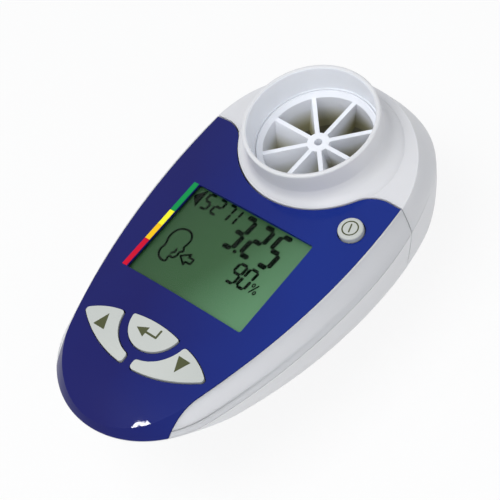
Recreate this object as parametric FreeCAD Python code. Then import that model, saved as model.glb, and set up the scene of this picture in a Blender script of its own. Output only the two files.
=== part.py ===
import FreeCAD, Part
import math
import os

from FreeCAD import Vector

# Hand-held lung function monitor lying on its back. X runs across, Y from the nose to the breathing head,
# Z up out of the display. The origin is under the middle of the box, on the surface it lies on.
# All sizes are in millimetres.

# Overall body
body_width = 63.0
nose_y = -56.5
head_y = 56.5
face_z = 39.0
collar_height = 9.0
parting_z = 30.3
parting_tilt_deg = 3.5
rim_z = face_z + collar_height

# Plan outline at the parting line: widest place and flank radii towards the nose and the head
widest_y = 8.8
nose_flank_r = 151.0
head_flank_r = 82.0

# Plan outline of the crease where the face meets the side band
crease_half_width = 29.2
crease_nose_y = -53.4
crease_head_y = 51.5
crease_widest_y = 15.0
crease_nose_flank_r = 166.0
crease_head_flank_r = 122.0
crease_z = 37.8
band_bulge = 1.1

# Crowned face
face_crown = 0.0016
nose_roll_start = -34.0
nose_roll = 0.0078
head_roll_start = 35.0
head_roll = 0.004

# Palm-shaped back
back_narrowing = 0.34
back_edge_round = 5.1
back_widest_shift = 13.3
back_nose_flank_drop = 51.0
nose_rise = 26.6
nose_keel_rise = 5.0
head_rise = 6.5
head_keel_rise = 3.0

# Walls
back_wall = 2.2
front_wall = 3.3
panel_t = 1.6
panel_seat_gap = 0.1
panel_edge_gap = 0.12
panel_edge_inset = 0.35
panel_flare_y = -38.0
panel_flare_r = 43.0
parting_gap = 0.15
lip_height = 1.4
lip_root = 0.5
lip_t = 0.8
lip_outer_skin = 0.9
lip_gap = 0.1

# Breathing head and its seam with the body
flow_y = 30.7
collar_r = 16.8
socket_r = 15.65
socket_floor_z = 40.3
sleeve_bore_r = 15.25
flare_side = 5.4
flare_end = 2.4
flare_height = 4.4
collar_lip_round = 0.5
sleeve_r = 17.3
seam_cup_y = 11.7
seam_cup_r = 21.9
seam_horn_x = 25.4
seam_horn_r = 8.16
seam_gap = 0.3
bulkhead_t = 1.3

# Flow tube, stators and rotor
tube_r = 15.1
flow_r = 13.75
stator_top_z = 40.2
stator_vane_top_z = 39.2
stator_depth = 10.8
stator_vanes = 8
stator_vane_t = 1.1
stator_twist_deg = 13.0
stator_first_vane_deg = -2.0
stator_hub_r = 2.8
stator_hub_hole_r = 1.0
rear_stator_depth = 6.0
rear_stator_vanes = 6
sleeve_floor_z = 9.5
exhaust_r = 14.2
spindle_r = 0.6
bearing_r = 1.7
bearing_t = 1.6
bearing_clearance = 0.05
rotor_gap = 1.4
rotor_span = 25.0
rotor_blade_t = 0.5
rotor_hub_r = 1.5

# Optical sensor prongs that reach into the head
prong_x = 20.4
prong_width = 3.4
prong_height = 8.0
prong_z = 20.5
prong_reach = 4.6
prong_slot_gap = 0.5
sensor_r = 1.5
sensor_length = 2.6
sight_hole_r = 1.8

# Display
window_width = 35.9
window_length = 27.1
window_x = -0.4
window_y = -6.9
window_corner_r = 0.6
pane_margin = 1.5
pane_t = 0.6
pane_top_z = 37.9
lcd_t = 1.8
lcd_gap = 0.1
lcd_frame_wall = 1.3
lcd_frame_gap = 0.15
zebra_width = 2.0
strip_width = 1.5
strip_gap = 0.15
strip_t = 0.3
strip_proud = 0.05

# Keys
key_centre_y = -29.2
enter_r = 7.1
enter_top_r = 33.0
enter_top_y = -28.9
wing_inner_r = 9.6
wing_outer_r = 30.7
wing_outer_y = -10.5
wing_top_r = 17.5
wing_top_x = 7.7
wing_top_y = -47.8
wing_inner_x = 1.3
wing_corner_r = 0.9
enter_corner_r = 0.5
key_proud = 0.45
key_gap = 0.25
key_flange = 0.8
key_flange_t = 1.0
flange_gap = 0.15
key_travel = 0.7
key_post_r = 1.6
power_x = 22.5
power_y = 14.6
power_r = 3.1
power_proud = 1.25
power_edge_round = 0.5

# Circuit board and switches
board_t = 1.6
board_z = 28.4
board_inset = 5.2
board_nose_y = -48.5
switch_width = 6.0
switch_height = 2.2
plunger_r = 1.5
plunger_gap = 0.08
plunger_proud = 0.9
wing_switch_x = 11.5
wing_switch_y = -36.0
enter_switch_y = -33.2

buzzer_r = 4.0
buzzer_t = 2.5
buzzer_hole_r = 0.7
buzzer_x = -19.2
buzzer_y = -17.0

# Battery compartment
cell_r = 5.25
cell_length = 44.5
cell_nub_r = 1.9
cell_nub_t = 1.0
cell_pitch = 10.8
cell_z = 20.8
cell_clearance = 0.3
contact_t = 0.4
contact_half_width = 4.0
contact_half_height = 3.0
spring_gap = 2.4
spring_wire_r = 0.3
spring_coil_r = 2.4
spring_turns = 2.5
bay_nose_y = -38.7
bay_wall = 1.2
bay_side_wall = 3.0
door_half_width = 12.2
door_nose_y = -39.8
door_head_y = 2.0
door_t = 1.7
door_gap = 0.2
door_rib_t = 1.4
door_rib_ys = (-27.0, -14.0, -1.0)

# Screws
screw_r = 1.1
screw_head_r = 2.0
screw_head_t = 1.4
boss_r = 2.7
screw_tip_z = 32.5
screw_seat_z = 20.5
nose_screw_seat_z = 24.5
screw_spots = [(16.0, 13.0, screw_seat_z), (-16.0, 13.0, screw_seat_z),
               (8.5, -43.3, nose_screw_seat_z), (-8.5, -43.3, nose_screw_seat_z)]
head_screw_spots = [(12.4, 47.1, screw_seat_z), (-12.4, 47.1, screw_seat_z)]
post_reach = 3.5

bay_length = cell_length + 2 * contact_t + spring_gap
bay_head_y = bay_nose_y + bay_length
board_top_z = board_z + board_t
half_width = body_width / 2
seam_cup_centre_y = seam_cup_y + seam_cup_r
seam_horn_y = seam_cup_centre_y - math.sqrt((seam_cup_r + seam_horn_r) ** 2 - seam_horn_x**2)
seam_side_y = seam_horn_y + seam_horn_r


def outline(width, widest, nose, head, nose_r, head_r, z, tilt_deg=0.0):
    """Closed egg outline at height z of tangent arcs: nose, flanks and head. Tilt lowers its head end."""

    def end_arc(tip, flank_r):
        """Radius of the end arc and the point where it meets the flank arc, for the +X side."""
        reach = abs(tip - widest)
        r = (2 * flank_r * width - width**2 - reach**2) / (2 * (flank_r - reach))
        way = 1 if tip > widest else -1
        centre = Vector(0, tip - way * r, z)
        flank_centre = Vector(width - flank_r, widest, z)
        meet = flank_centre + (centre - flank_centre).normalize() * flank_r
        return r, centre, meet, flank_centre

    def through(centre, r, a, b):
        """Point of the circle half way round between a and b."""
        return centre + ((a - centre) + (b - centre)).normalize() * r

    nose_arc_r, nose_centre, nose_meet, nose_flank = end_arc(nose, nose_r)
    head_arc_r, head_centre, head_meet, head_flank = end_arc(head, head_r)
    tip, side, top = Vector(0, nose, z), Vector(width, widest, z), Vector(0, head, z)
    right = [
        (tip, through(nose_centre, nose_arc_r, tip, nose_meet), nose_meet),
        (nose_meet, through(nose_flank, nose_r, nose_meet, side), side),
        (side, through(head_flank, head_r, side, head_meet), head_meet),
        (head_meet, through(head_centre, head_arc_r, head_meet, top), top),
    ]
    left = [tuple(Vector(-p.x, p.y, p.z) for p in reversed(arc)) for arc in reversed(right)]
    wire = Part.Wire([Part.Arc(*arc).toShape() for arc in right + left])
    wire.rotate(Vector(0, 0, z), Vector(1, 0, 0), -tilt_deg)
    return wire


def tilted(solid):
    """Turns a solid built about a level parting line into the tilt of the real one."""
    return solid.rotated(Vector(0, 0, parting_z), Vector(1, 0, 0), -parting_tilt_deg)


def box(x0, x1, y0, y1, z0, z1):
    return Part.makeBox(x1 - x0, y1 - y0, z1 - z0, Vector(x0, y0, z0))


def rod(r, x, y, z0, z1):
    return Part.makeCylinder(r, z1 - z0, Vector(x, y, z0))


def ring(outer, inner, x, y, z0, z1):
    return rod(outer, x, y, z0, z1).cut(rod(inner, x, y, z0 - 1, z1 + 1))


def round_corners(solid, r):
    """Rounds the upright edges of a prism."""
    upright = [e for e in solid.Edges if abs(e.BoundBox.ZLength - solid.BoundBox.ZLength) < 1e-6]
    return solid.makeFillet(r, upright)


def face_height(x, y):
    """Height of the crowned face above the ground plane."""
    nose_drop = nose_roll * max(0.0, nose_roll_start - y) ** 2
    head_drop = head_roll * max(0.0, y - head_roll_start) ** 2
    return face_z - face_crown * x * x - nose_drop - head_drop


def above_face(lift):
    """Solid block over the crowned face, its underside lifted by the given amount."""
    xs = [-36 + 6 * i for i in range(13)]
    ys = [-63 + 6 * j for j in range(22)]
    grid = [[Vector(x, y, face_height(x, y) + lift) for y in ys] for x in xs]
    surface = Part.BSplineSurface()
    surface.interpolate(grid)
    return surface.toShape().extrude(Vector(0, 0, 30))


def front_hull(inset, lift=0.0):
    """Upper half of the body, inset all round, with its crowned face lowered by the inset less the lift."""
    rings = []
    for t in (0.0, 0.3, 0.65, 1.0, 1.35):
        f = t**band_bulge

        def mix(low, high):
            return low + (high - low) * f

        rings.append(
            outline(
                mix(half_width, crease_half_width) - inset,
                mix(widest_y, crease_widest_y),
                mix(nose_y, crease_nose_y) + inset,
                mix(head_y, crease_head_y) - inset,
                mix(nose_flank_r, crease_nose_flank_r) - inset,
                mix(head_flank_r, crease_head_flank_r) - inset,
                parting_z + (crease_z - parting_z) * t,
                parting_tilt_deg * (1 - t),
            )
        )
    hull = Part.makeLoft(rings, True, False)
    return hull.cut(above_face(lift - inset))


def back_hull(inset):
    """Lower half of the body, a palm-shaped bowl with a flat foot, inset on every side."""
    rings = []
    for s in (0.0, 0.12, 0.3, 0.5, 0.7, 0.85, 0.95, 1.0):
        rings.append(
            outline(
                half_width * (1 - back_narrowing * s) - back_edge_round * s**8 - inset,
                widest_y + back_widest_shift * s,
                nose_y + nose_rise * s + nose_keel_rise * s**4 + inset,
                head_y - head_rise * s**2 - head_keel_rise * s**8 - inset,
                nose_flank_r - back_nose_flank_drop * s - inset,
                head_flank_r - inset,
                parting_z - s * (parting_z - inset),
                parting_tilt_deg * (1 - s),
            )
        )
    return Part.makeLoft(rings, True, False)


def parting_ring(outer_inset, inner_inset, z0, z1):
    """Upright ring that follows the parting outline."""

    def prism(inset):
        wire = outline(
            half_width - inset, widest_y, nose_y + inset, head_y - inset,
            nose_flank_r - inset, head_flank_r - inset, z0,
        )
        return Part.Face(wire).extrude(Vector(0, 0, z1 - z0))

    return tilted(prism(outer_inset).cut(prism(inner_inset)))


def below_parting(lift):
    """Half space under the tilted parting plane, its top raised by lift."""
    return tilted(box(-body_width, body_width, 2 * nose_y, 2 * head_y, -rim_z, parting_z + lift))


def head_side(shift):
    """Everything on the head's side of the seam, with the seam moved towards the head by shift."""
    cup = Vector(0, seam_cup_centre_y + shift, 0)
    horn = Vector(seam_horn_x, seam_horn_y + shift, 0)
    peak = horn + Vector(0, seam_horn_r, 0)
    meet = cup + (horn - cup).normalize() * seam_cup_r
    halfway = horn + ((peak - horn) + (meet - horn)).normalize() * seam_horn_r
    low = cup - Vector(0, seam_cup_r, 0)
    far_x, far_y = body_width, 2 * head_y

    def flip(p):
        return Vector(-p.x, p.y, p.z)

    side = Vector(far_x, peak.y, 0)
    corner = Vector(far_x, far_y, 0)
    edges = [
        Part.makeLine(side, peak),
        Part.Arc(peak, halfway, meet).toShape(),
        Part.Arc(meet, low, flip(meet)).toShape(),
        Part.Arc(flip(meet), flip(halfway), flip(peak)).toShape(),
        Part.makeLine(flip(peak), flip(side)),
        Part.makeLine(flip(side), flip(corner)),
        Part.makeLine(flip(corner), corner),
        Part.makeLine(corner, side),
    ]
    return Part.Face(Part.Wire(edges)).extrude(Vector(0, 0, 2 * rim_z))


def panel_zone(inset):
    """Upright prism over the coloured panel: its edge follows the crease, then flares to run off the nose."""
    wide = crease_half_width - panel_edge_inset - inset
    flank_r = crease_nose_flank_r - inset
    flank = Vector(wide - flank_r, crease_widest_y, 0)
    turn = math.asin((crease_widest_y - panel_flare_y) / crease_nose_flank_r)
    joint = flank + Vector(math.cos(turn), -math.sin(turn), 0) * flank_r
    flare_r = panel_flare_r + inset
    flare = joint + Vector(math.cos(turn), -math.sin(turn), 0) * flare_r
    top_y, low_y = 0.8 * head_y, 1.2 * nose_y
    top = Vector(flank.x + math.sqrt(flank_r**2 - (top_y - flank.y) ** 2), top_y, 0)
    end = flare - Vector(flare_r, 0, 0)
    middle = flare - Vector(math.cos(turn / 2), -math.sin(turn / 2), 0) * flare_r
    low = Vector(end.x, low_y, 0)

    def flip(p):
        return Vector(-p.x, p.y, p.z)

    right = [
        Part.Arc(top, Vector(wide, flank.y, 0), joint).toShape(),
        Part.Arc(joint, middle, end).toShape(),
        Part.makeLine(end, low),
    ]
    left = [
        Part.makeLine(flip(low), flip(end)),
        Part.Arc(flip(end), flip(middle), flip(joint)).toShape(),
        Part.Arc(flip(joint), Vector(-wide, flank.y, 0), flip(top)).toShape(),
    ]
    wire = Part.Wire(right + [Part.makeLine(low, flip(low))] + left + [Part.makeLine(flip(top), top)])
    return Part.Face(wire).extrude(Vector(0, 0, 2 * rim_z)).cut(head_side(-inset))


def enter_prism(grow, z0, z1):
    top = rod(enter_top_r + grow, 0, enter_top_y - enter_top_r, z0, z1)
    key = rod(enter_r + grow, 0, key_centre_y, z0, z1).common(top)
    return round_corners(key, enter_corner_r)


def wing_prism(side, grow, z0, z1):
    """Crescent key beside the enter key, on the +X side for side 1 and on the -X side for side -1."""
    wing = rod(wing_outer_r + grow, 0, wing_outer_y, z0, z1)
    wing = wing.common(rod(wing_top_r + grow, wing_top_x, wing_top_y, z0, z1))
    wing = wing.cut(rod(wing_inner_r - grow, 0, key_centre_y, z0 - 1, z1 + 1))
    wing = wing.cut(box(-body_width, wing_inner_x - grow, nose_y, head_y, z0 - 1, z1 + 1))
    wing = round_corners(wing, wing_corner_r)
    return wing if side > 0 else wing.mirror(Vector(0, 0, 0), Vector(1, 0, 0))


def power_prism(grow, z0, z1):
    return rod(power_r + grow, power_x, power_y, z0, z1)


key_prisms = {
    "up_key": lambda grow, z0, z1: wing_prism(-1, grow, z0, z1),
    "enter_key": enter_prism,
    "down_key": lambda grow, z0, z1: wing_prism(1, grow, z0, z1),
    "power_button": power_prism,
}
switch_spots = {
    "up_key": (-wing_switch_x, wing_switch_y),
    "enter_key": (0.0, enter_switch_y),
    "down_key": (wing_switch_x, wing_switch_y),
    "power_button": (power_x, power_y),
}


def rectangle(width, length, y, z0, z1, corner_r=0.0):
    """Block centred on the window's middle line."""
    block = box(window_x - width / 2, window_x + width / 2, y - length / 2, y + length / 2, z0, z1)
    return round_corners(block, corner_r) if corner_r else block


def flange_top(name):
    """Height of the top of a key's flange, just under the front casing."""
    x, y = switch_spots[name]
    low = min(face_height(abs(x) + 4, y), face_height(0, wing_switch_y - 5) - flange_gap)
    return low - front_wall - flange_gap


def make_front_shell():
    """White front casing of the body: side bands, a recessed deck for the panel, and screw bosses."""
    hull = front_hull(0)
    cavity = front_hull(front_wall).cut(head_side(-bulkhead_t - seam_gap / 2))
    shell = hull.cut(cavity).cut(head_side(-seam_gap / 2))
    seat = hull.cut(front_hull(panel_t + panel_seat_gap)).common(panel_zone(-panel_edge_gap))
    shell = shell.cut(seat)
    frame_w = window_width + 2 * (pane_margin + lcd_frame_wall + lcd_frame_gap)
    frame_l = window_length + 2 * (pane_margin + lcd_frame_wall + lcd_frame_gap)
    shell = shell.cut(rectangle(frame_w + 0.4, frame_l + 0.4, window_y, parting_z, rim_z))
    for name, prism in key_prisms.items():
        shell = shell.cut(prism(key_gap, parting_z, rim_z))
    shell = shell.cut(below_parting(parting_gap))
    ceiling = front_hull(front_wall - 0.2)
    ceiling = ceiling.fuse(box(-half_width, half_width, nose_y, head_y, 0, parting_z + post_reach))
    for x, y, _ in screw_spots:
        post = rod(boss_r, x, y, board_top_z, face_z).common(ceiling)
        shell = shell.fuse(post).cut(rod(screw_r - 0.15, x, y, 0, parting_z + post_reach))
    for name, prism in key_prisms.items():
        shell = shell.cut(prism(key_flange + key_gap, parting_z - post_reach, flange_top(name) + flange_gap))
    return shell.cut(parting_ring(lip_outer_skin - lip_gap, lip_outer_skin + lip_t + lip_gap,
                                  parting_z - 1, parting_z + lip_height + lip_gap))


def make_control_panel():
    """Glossy coloured panel that clips over the front casing and wraps down round the nose."""
    skin = front_hull(0).cut(front_hull(panel_t)).common(panel_zone(0))
    skin = skin.cut(head_side(-seam_gap / 2 - panel_edge_gap))
    skin = skin.cut(below_parting(parting_gap))
    skin = skin.cut(rectangle(window_width, window_length, window_y, parting_z, rim_z, window_corner_r))
    pane_w, pane_l = window_width + 2 * pane_margin, window_length + 2 * pane_margin
    skin = skin.cut(rectangle(pane_w + 0.3, pane_l + 0.3, window_y, parting_z, pane_top_z))
    for name, prism in key_prisms.items():
        skin = skin.cut(prism(key_gap, parting_z, rim_z))
    return skin.cut(strip_bed(0.0))


def strip_bed(trim):
    """Prism of the zone strip beside the window, in the face; trim takes a margin off each side."""
    x1 = window_x - window_width / 2 - strip_gap - trim
    x0 = x1 - strip_width + 2 * trim
    y0, y1 = window_y - window_length / 2 + trim, window_y + window_length / 2 - trim
    bed = box(x0, x1, y0, y1, parting_z, rim_z)
    return bed.common(above_face(-strip_t))


def make_zone_strip():
    """Four coloured inlays in a row beside the window, longest at the two ends."""
    cap = strip_bed(0.02).cut(above_face(strip_proud))
    y0 = window_y - window_length / 2
    shares = (0.0, 0.31, 0.485, 0.66, 1.0)
    pieces = []
    for low, high in zip(shares, shares[1:]):
        pieces.append(cap.common(box(-body_width, 0, y0 + low * window_length + 0.02,
                                     y0 + high * window_length - 0.02, 0, rim_z)))
    return Part.makeCompound(pieces)


def make_display():
    """Clear pane, liquid crystal cell, its frame and the two elastomer connector strips."""
    pane_w, pane_l = window_width + 2 * pane_margin, window_length + 2 * pane_margin
    pane_low = pane_top_z - pane_t
    lcd_top = pane_low - lcd_gap
    lcd_low = lcd_top - lcd_t
    pane = rectangle(pane_w, pane_l, window_y, pane_low, pane_top_z)
    lcd = rectangle(pane_w, pane_l, window_y, lcd_low, lcd_top)
    gap = 2 * lcd_frame_gap
    frame = rectangle(pane_w + gap + 2 * lcd_frame_wall, pane_l + gap + 2 * lcd_frame_wall,
                      window_y, board_top_z, lcd_low + lcd_t / 2)
    frame = frame.cut(rectangle(pane_w + gap, pane_l + gap, window_y, lcd_low, rim_z))
    frame = frame.cut(rectangle(pane_w - 4, pane_l - 4 - 2 * zebra_width, window_y, 0, rim_z))
    slots = []
    strips = []
    for way in (-1, 1):
        y = window_y + way * (pane_l / 2 - zebra_width / 2 - 0.6)
        slots.append(rectangle(pane_w - 2, zebra_width + 0.2, y, 0, rim_z))
        strips.append(rectangle(pane_w - 2.4, zebra_width, y, board_top_z, lcd_low))
    for slot in slots:
        frame = frame.cut(slot)
    return pane, lcd, frame, Part.makeCompound(strips)


def make_keys():
    """Each key: a cap that follows the face, a flange behind the casing and a post down to its switch."""
    keys = {}
    for name, prism in key_prisms.items():
        proud = power_proud if name == "power_button" else key_proud
        x, y = switch_spots[name]
        top = flange_top(name)
        cap = prism(0, top - key_flange_t, rim_z)
        if name == "power_button":
            cap = cap.common(rod(power_r, x, y, 0, face_height(x, y) + proud))
            rim = [e for e in cap.Edges if abs(e.BoundBox.ZMin - cap.BoundBox.ZMax) < 1e-3]
            cap = cap.makeFillet(power_edge_round, rim)
        else:
            cap = cap.cut(above_face(proud))
        flange = prism(key_flange, top - key_flange_t, top)
        post = rod(key_post_r, x, y, board_top_z + switch_height + plunger_proud, top)
        keys[name] = cap.fuse(flange).fuse(post).removeSplitter()
    return keys


def make_switches():
    """Tactile switch bodies on the board and the plunger in each."""
    bodies, plungers = [], {}
    for name, (x, y) in switch_spots.items():
        half = switch_width / 2
        body = box(x - half, x + half, y - half, y + half, board_top_z, board_top_z + switch_height)
        body = body.cut(rod(plunger_r + plunger_gap, x, y, board_top_z + 0.4, rim_z))
        bodies.append(body)
        plungers[name] = rod(plunger_r, x, y, board_top_z + 0.4 + key_travel + 0.1,
                             board_top_z + switch_height + plunger_proud)
    return Part.makeCompound(bodies), plungers


def make_back_shell():
    """White rear casing of the body: battery bay, board bosses, sensor prongs and the parting lip."""
    hull = back_hull(0)
    inner = back_hull(back_wall)
    shell = hull.cut(inner.cut(head_side(-bulkhead_t - seam_gap / 2)))
    bay_x = cell_pitch / 2 + cell_r + cell_clearance
    bay_top = cell_z + cell_r + cell_clearance
    tub_x = bay_x + bay_side_wall
    tub = box(-tub_x, tub_x, bay_nose_y - bay_wall, bay_head_y + bay_wall, 0, bay_top + bay_wall)
    shell = shell.fuse(tub.common(hull))
    for x, y, _ in screw_spots:
        shell = shell.fuse(rod(boss_r, x, y, 0, board_z).common(hull))
    bay = box(-bay_x, bay_x, bay_nose_y, bay_head_y, -1, bay_top)
    opening = box(-door_half_width - door_gap, door_half_width + door_gap,
                  door_nose_y - door_gap, door_head_y + door_gap, -1, cell_z)
    mouth = box(-bay_x, bay_x, bay_nose_y, door_head_y + door_gap, -1, bay_top)
    shell = shell.cut(bay.common(inner)).cut(mouth)
    shell = shell.cut(opening.cut(back_hull(door_t + 0.1)))
    shell = shell.cut(head_side(-seam_gap / 2))
    for side in (-1, 1):
        prong = box(-prong_width / 2, prong_width / 2, seam_side_y - 8, flow_y + prong_reach,
                    prong_z - prong_height / 2, prong_z + prong_height / 2)
        shell = shell.fuse(prong.translate(Vector(side * prong_x, 0, 0)))
        face = Vector(side * (prong_x - prong_width / 2), flow_y, prong_z)
        shell = shell.cut(Part.makeCylinder(sensor_r + 0.05, sensor_length, face, Vector(side, 0, 0)))
    for x, y, seat_z in screw_spots:
        shell = shell.cut(rod(screw_r + 0.15, x, y, 0, board_z + 1))
        shell = shell.cut(rod(screw_head_r + 0.3, x, y, -1, seat_z + screw_head_t))
    lip = parting_ring(lip_outer_skin, lip_outer_skin + lip_t, parting_z - lip_root, parting_z + lip_height)
    return shell.fuse(lip.cut(head_side(-seam_gap / 2)).cut(panel_zone(-panel_edge_gap - 0.3)))


def make_battery_door():
    """Door in the back: a piece of the casing's skin with cross ribs that hold the cells up."""
    zone = box(-door_half_width, door_half_width, door_nose_y, door_head_y, -1, cell_z)
    skin = back_hull(0).cut(back_hull(door_t)).common(zone)
    inner = back_hull(door_t - 0.2)
    bay_x = cell_pitch / 2 + cell_r
    rib_top = cell_z - cell_r * 0.55
    for y in door_rib_ys:
        rib = box(-bay_x + 0.2, bay_x - 0.2, y, y + door_rib_t, 0, rib_top).common(inner)
        for side in (-1, 1):
            cell = Part.makeCylinder(cell_r + 0.2, cell_length + 10,
                                     Vector(side * cell_pitch / 2, bay_nose_y - 5, cell_z), Vector(0, 1, 0))
            rib = rib.cut(cell)
        skin = skin.fuse(rib)
    return skin


def make_cell(side):
    """Dry cell along Y: the left one points its button at the head, the right one at the nose."""
    x = side * cell_pitch / 2
    can = Part.makeCylinder(cell_r, cell_length - cell_nub_t, Vector(0, 0, 0), Vector(0, 1, 0))
    rims = [e for e in can.Edges if e.Closed]
    can = can.makeFillet(0.4, rims)
    nub = Part.makeCylinder(cell_nub_r, cell_nub_t, Vector(0, cell_length - cell_nub_t, 0), Vector(0, 1, 0))
    cell = can.fuse(nub)
    if side < 0:
        return cell.translate(Vector(x, bay_nose_y + contact_t + spring_gap, cell_z))
    cell.rotate(Vector(0, 0, 0), Vector(0, 0, 1), 180)
    return cell.translate(Vector(x, bay_nose_y + contact_t + cell_length, cell_z))


def make_battery_contacts():
    """One bridge plate at the nose end and two plates at the head end of the battery bay."""
    half = contact_half_width
    low, high = cell_z - contact_half_height, cell_z + contact_half_height
    reach = cell_pitch / 2 + half
    nose = box(-reach, reach, bay_nose_y, bay_nose_y + contact_t, low, high)
    plates = [nose]
    for side in (-1, 1):
        x = side * cell_pitch / 2
        plates.append(box(x - half, x + half, bay_head_y - contact_t, bay_head_y, low, high))
    return Part.makeCompound(plates)


def make_battery_springs():
    """Coil springs against the flat end of each cell."""
    springs = []
    for side in (-1, 1):
        x = side * cell_pitch / 2
        length = spring_gap - 2 * spring_wire_r
        helix = Part.makeHelix(length / spring_turns, length, spring_coil_r)
        start = Vector(spring_coil_r, 0, 0)
        section = Part.Wire([Part.makeCircle(spring_wire_r, start, Vector(0, 1, 0))])
        coil = Part.Wire(helix.Edges).makePipeShell([section], True, True)
        coil.rotate(Vector(0, 0, 0), Vector(1, 0, 0), -90)
        y = bay_nose_y + contact_t if side < 0 else bay_head_y - contact_t - spring_gap
        springs.append(coil.translate(Vector(x, y + spring_wire_r, cell_z)))
    return Part.makeCompound(springs)


def make_board():
    """Circuit board inside the body, cut to its plan outline and drilled for the case screws."""
    wire = outline(half_width - board_inset, widest_y, board_nose_y, head_y - board_inset,
                   nose_flank_r - board_inset, head_flank_r - board_inset, board_z)
    board = Part.Face(wire).extrude(Vector(0, 0, board_t))
    board = board.cut(head_side(-bulkhead_t - seam_gap - 1.0))
    for x, y, _ in screw_spots:
        board = board.cut(rod(screw_r + 0.3, x, y, 0, rim_z))
    return board


def make_chips():
    """Controller, memory, amplifier and crystal under the board."""
    sizes = [(17.8, -12.0, 5.0, 9.0, 1.4), (-18.0, -8.0, 4.0, 5.0, 1.2),
             (18.0, -27.0, 4.0, 3.0, 1.0), (-17.5, 3.0, 3.0, 6.0, 1.8)]
    return Part.makeCompound([
        box(x - w / 2, x + w / 2, y - l / 2, y + l / 2, board_z - t, board_z) for x, y, w, l, t in sizes
    ])


def make_buzzer():
    """Piezo sounder: a low can with a sound hole, under the board."""
    can = rod(buzzer_r, buzzer_x, buzzer_y, board_z - buzzer_t, board_z)
    return can.cut(rod(buzzer_hole_r, buzzer_x, buzzer_y, 0, board_z - 0.8 * buzzer_t))


def make_screw(x, y, head_z):
    """Pan-head screw pointing up, with a cross recess in its head."""
    screw = rod(screw_head_r, x, y, head_z, head_z + screw_head_t)
    under = [e for e in screw.Edges if e.Closed and abs(e.BoundBox.ZMin - head_z) < 1e-6]
    screw = screw.makeFillet(0.6, under)
    screw = screw.fuse(rod(screw_r - 0.15, x, y, head_z, screw_tip_z))
    for turn in (0, 90):
        slot = box(-1.2, 1.2, -0.25, 0.25, -0.1, 0.8)
        slot.rotate(Vector(0, 0, 0), Vector(0, 0, 1), turn)
        screw = screw.cut(slot.translate(Vector(x, y, head_z)))
    return screw


def make_sensor(side):
    """Infra-red emitter or detector in its prong, with a domed lens towards the flow tube."""
    x = side * (prong_x - prong_width / 2)
    body = Part.makeCylinder(sensor_r, sensor_length - 0.1, Vector(x, flow_y, prong_z), Vector(side, 0, 0))
    lens = Part.makeSphere(sensor_r * 0.8, Vector(x + side * 0.9, flow_y, prong_z))
    return body.fuse(lens)


def make_collar():
    """Round collar of the mouthpiece socket, flaring into the face of the head on an oval foot."""
    top = Vector(0, flow_y, face_z + flare_height)
    rings = [Part.Wire([Part.Ellipse(top, collar_r - 0.3, collar_r - 0.3).toShape()])]
    for rise, spread in ((0.6, 0.04), (0.3, 0.22), (0.07, 0.58), (-0.1, 0.85), (-0.35, 1.1)):
        oval = Part.Ellipse(Vector(0, flow_y, face_z + flare_height * rise),
                            collar_r + flare_side * spread, collar_r + flare_end * spread)
        rings.append(Part.Wire([oval.toShape()]))
    flare = Part.makeLoft(rings, True, False)
    return flare.fuse(rod(collar_r, 0, flow_y, face_z - flare_height * 0.35, rim_z))


def make_head_front():
    """Front casing of the breathing head, with the mouthpiece collar and the upper half of the sleeve."""
    seam = head_side(seam_gap / 2)
    shell = front_hull(0).fuse(make_collar())
    shell = shell.cut(front_hull(front_wall).common(head_side(bulkhead_t + seam_gap / 2)))
    shell = shell.fuse(rod(sleeve_r, 0, flow_y, parting_z - 5, face_z - 1)).common(seam)
    shell = shell.cut(below_parting(parting_gap))
    ceiling = front_hull(front_wall - 0.2)
    for x, y, _ in head_screw_spots:
        post = rod(boss_r, x, y, parting_z - 5, face_z).common(ceiling)
        shell = shell.fuse(post.cut(below_parting(parting_gap)))
        shell = shell.cut(rod(screw_r - 0.15, x, y, 0, parting_z + post_reach))
    shell = shell.cut(rod(sleeve_bore_r, 0, flow_y, 0, socket_floor_z + 1))
    shell = shell.cut(rod(socket_r, 0, flow_y, socket_floor_z, 2 * rim_z))
    shell = shell.cut(parting_ring(lip_outer_skin - lip_gap, lip_outer_skin + lip_t + lip_gap,
                                   parting_z - 1, parting_z + lip_height + lip_gap))
    rims = [e for e in shell.Edges if abs(e.BoundBox.ZMin - rim_z) < 1e-3 and e.BoundBox.ZLength < 1e-3]
    return shell.makeFillet(collar_lip_round, rims)


def make_head_back():
    """Rear casing of the breathing head, with the lower half of the sleeve and the exhaust."""
    hull = back_hull(0)
    shell = hull.cut(back_hull(back_wall).common(head_side(bulkhead_t + seam_gap / 2)))
    shell = shell.fuse(rod(sleeve_r, 0, flow_y, 0, parting_z + 5).common(hull))
    for x, y, _ in head_screw_spots:
        shell = shell.fuse(rod(boss_r, x, y, 0, parting_z + 5).common(hull))
    lip = parting_ring(lip_outer_skin, lip_outer_skin + lip_t, parting_z - lip_root, parting_z + lip_height)
    shell = shell.fuse(lip).common(head_side(seam_gap / 2))
    shell = shell.cut(rod(sleeve_bore_r, 0, flow_y, sleeve_floor_z, rim_z))
    shell = shell.cut(rod(exhaust_r, 0, flow_y, -1, sleeve_floor_z + 1))
    for side in (-1, 1):
        gap = prong_slot_gap
        half = prong_width / 2 + gap
        tall = prong_height / 2 + gap
        slot = box(-half, half, seam_side_y - 12, flow_y + prong_reach + gap, prong_z - tall, prong_z + tall)
        shell = shell.cut(slot.translate(Vector(side * prong_x, 0, 0)))
        hole = Part.makeCylinder(sight_hole_r, 10, Vector(side * 12, flow_y, prong_z), Vector(side, 0, 0))
        shell = shell.cut(hole)
    for x, y, seat_z in head_screw_spots:
        shell = shell.cut(rod(screw_r + 0.15, x, y, 0, parting_z + 2))
        shell = shell.cut(rod(screw_head_r + 0.3, x, y, -1, seat_z + screw_head_t))
    return shell


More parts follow.
